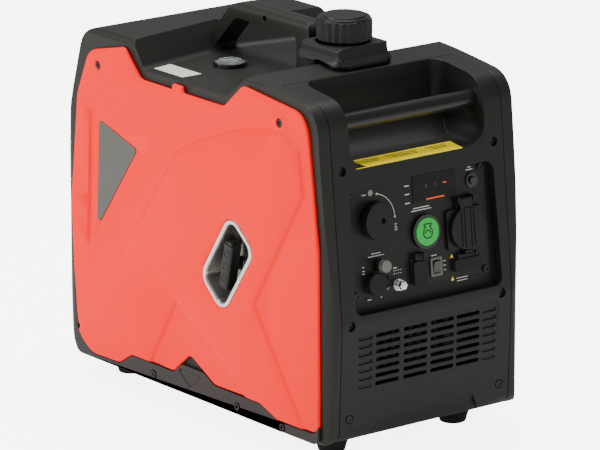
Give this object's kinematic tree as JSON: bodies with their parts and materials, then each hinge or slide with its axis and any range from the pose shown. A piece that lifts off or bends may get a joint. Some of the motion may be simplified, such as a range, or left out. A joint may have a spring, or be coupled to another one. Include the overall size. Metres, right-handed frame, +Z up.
{
  "type": "inverter generator",
  "caption": "Portable inverter generator: closed case with side panels, leaning control panel, front hand pocket, top handle, recoil starter recess, fuel filler and engine inside",
  "frame": {"origin": "on the ground under the middle of the case's width and depth", "axes": "+X to the right of someone facing the control panel, +Y from the control panel to the exhaust end, +Z up"},
  "size_m": [0.29, 0.5046, 0.474],
  "materials": {
    "case_plastic": "fine moulded texture, dark grey",
    "panel_red": "satin red moulding",
    "trim_black": "satin black moulding",
    "control_black": "satin dark grey",
    "rubber_black": "matt rubber",
    "gloss_black": "gloss black",
    "button_green": "green, gloss",
    "button_clear": "milky clear plastic",
    "silver": "satin silver",
    "zinc": "bright zinc plate",
    "cast_aluminium": "as cast",
    "machined_steel": "ground steel",
    "black_steel": "black finish",
    "winding": "varnished copper winding",
    "ceramic_white": "glazed white",
    "pulley_nylon": "natural nylon",
    "muffler_steel": "heat-stained steel",
    "rope_black": "braided cord",
    "lens_clear": "clear",
    "needle_red": "satin red",
    "battery_case": "satin dark blue-grey"
  },
  "bodies": {
    "root": {"left_shell": "case_plastic", "right_shell": "case_plastic", "front_cover": "case_plastic", "rear_cover": "case_plastic", "base_pan": "trim_black", "rubber_feet": "rubber_black", "left_side_panel": "panel_red", "right_side_panel": "panel_red", "lower_trims": "trim_black", "fasteners": "black_steel", "front_handle_bar": "trim_black", "control_panel": "control_black", "fuel_valve": "zinc", "display_module": "gloss_black", "start_button_ring": "gloss_black", "ac_reset_body": "gloss_black", "ac_socket": "control_black", "dc_breaker": "control_black", "dc_socket": "control_black", "ground_terminal": "zinc", "usb_socket": "control_black", "eco_switch": "button_clear", "parallel_sockets": "control_black", "fuel_tank": "gloss_black", "filler_collar": "case_plastic", "gauge_body": "gloss_black", "gauge_lens": "lens_clear", "recoil_cup": "silver", "starter_rope": "rope_black", "recoil_housing": "control_black", "crankcase": "cast_aluminium", "cylinder_head": "cast_aluminium", "stator": "winding", "spark_plug": "ceramic_white", "carburettor": "cast_aluminium", "air_filter": "trim_black", "muffler": "muffler_steel", "inverter_module": "cast_aluminium", "battery": "battery_case", "starter_motor": "gloss_black", "engine_mounts": "rubber_black"},
    "switch_knob": {"engine_switch_knob": "trim_black"},
    "choke": {"choke_lever": "gloss_black"},
    "start_key": {"start_button": "button_green"},
    "reset_key": {"ac_reset_button": "gloss_black"},
    "breaker_key": {"dc_breaker_button": "button_clear"},
    "socket_flap": {"ac_socket_flap": "control_black"},
    "dc_cap": {"dc_socket_cap": "rubber_black"},
    "usb_flap": {"usb_cover": "rubber_black"},
    "eco_key": {"eco_rocker": "gloss_black"},
    "parallel_flap": {"parallel_cover": "rubber_black"},
    "cap_lift": {"cap_seal": "rubber_black"},
    "cap_turn": {"fuel_cap": "trim_black"},
    "grip": {"starter_grip": "gloss_black"},
    "pulley": {"rope_pulley": "pulley_nylon"},
    "crank": {"crankshaft": "machined_steel", "alternator_rotor": "machined_steel"},
    "piston_slider": {"piston": "cast_aluminium"},
    "rod": {"connecting_rod": "machined_steel"},
    "needle": {"gauge_needle": "needle_red"}
  },
  "joints": [
    {"name": "engine_switch", "type": "hinge", "parent": "root", "child": "switch_knob", "pos_m": [-0.061, -0.23121, 0.27192], "axis": [0, 0.9945, -0.1045], "range_deg": [0, 90]},
    {"name": "choke", "type": "hinge", "parent": "root", "child": "choke", "pos_m": [0.04, 0.031, 0.262], "axis": [0, 0, 1], "range_deg": [0, 72]},
    {"name": "start_press", "type": "slide", "parent": "root", "child": "start_key", "axis": [0, 0.9945, -0.1045], "range_m": [0, 0.002], "stiffness_N_per_m": 400},
    {"name": "ac_reset_press", "type": "slide", "parent": "root", "child": "reset_key", "axis": [0, 0.9945, -0.1045], "range_m": [0, 0.002], "stiffness_N_per_m": 250},
    {"name": "dc_breaker_press", "type": "slide", "parent": "root", "child": "breaker_key", "axis": [0, 0.9945, -0.1045], "range_m": [0, 0.002], "stiffness_N_per_m": 250},
    {"name": "socket_flap_swing", "type": "hinge", "parent": "root", "child": "socket_flap", "pos_m": [0.065, -0.23675, 0.27652], "axis": [-1, 0, 0], "range_deg": [0, 110], "stiffness_Nm_per_rad": 0.02},
    {"name": "dc_cap_swing", "type": "hinge", "parent": "root", "child": "dc_cap", "pos_m": [-0.0515, -0.24454, 0.20243], "axis": [0, 0.1045, 0.9945], "range_deg": [0, 100]},
    {"name": "usb_cover_swing", "type": "hinge", "parent": "root", "child": "usb_flap", "pos_m": [-0.005, -0.2413, 0.22371], "axis": [-1, 0, 0], "range_deg": [0, 110]},
    {"name": "eco_rock", "type": "hinge", "parent": "root", "child": "eco_key", "pos_m": [0.022, -0.23816, 0.20578], "axis": [-1, 0, 0], "range_deg": [0, 14]},
    {"name": "parallel_cover_swing", "type": "hinge", "parent": "root", "child": "parallel_flap", "pos_m": [0.065, -0.24135, 0.21366], "axis": [-1, 0, 0], "range_deg": [0, 85]},
    {"name": "cap_rise", "type": "slide", "parent": "root", "child": "cap_lift", "axis": [0, 0, 1], "range_m": [0, 0.004], "stiffness_N_per_m": 10, "springref_m": 0.0434},
    {"name": "cap_unscrew", "type": "hinge", "parent": "cap_lift", "child": "cap_turn", "pos_m": [0, -0.1, 0.46], "axis": [0, 0, 1], "range_deg": [0, 270]},
    {"name": "starter_pull", "type": "slide", "parent": "root", "child": "grip", "axis": [-1, 0, 0], "range_m": [0, 0.45], "stiffness_N_per_m": 25, "springref_m": -0.08, "deforming": ["starter_rope"]},
    {"name": "pulley_spin", "type": "hinge", "parent": "root", "child": "pulley", "pos_m": [0.02, -0.065, 0.156], "axis": [0, -1, 0], "range_deg": [0, 650]},
    {"name": "crank_spin", "type": "hinge", "parent": "root", "child": "crank", "pos_m": [0.02, 0, 0.156], "axis": [0, 1, 0], "continuous": true},
    {"name": "piston_stroke", "type": "slide", "parent": "root", "child": "piston_slider", "axis": [1, 0, 0], "range_m": [0, 0.038]},
    {"name": "rod_swing", "type": "hinge", "parent": "piston_slider", "child": "rod", "pos_m": [-0.071, 0.038, 0.156], "axis": [0, 1, 0], "range_deg": [-14, 14]},
    {"name": "gauge_float", "type": "hinge", "parent": "root", "child": "needle", "pos_m": [-0.048, 0.049, 0.395], "axis": [0, 0, 1], "range_deg": [0, 90]}
  ],
  "couplings": [
    {"joint": "choke", "follows": "engine_switch", "ratio": 0.8},
    {"joint": "pulley_spin", "follows": "starter_pull", "rad_per_m": 25},
    {"joint": "cap_rise", "follows": "cap_unscrew", "m_per_rad": 0.00063662}
  ]
}
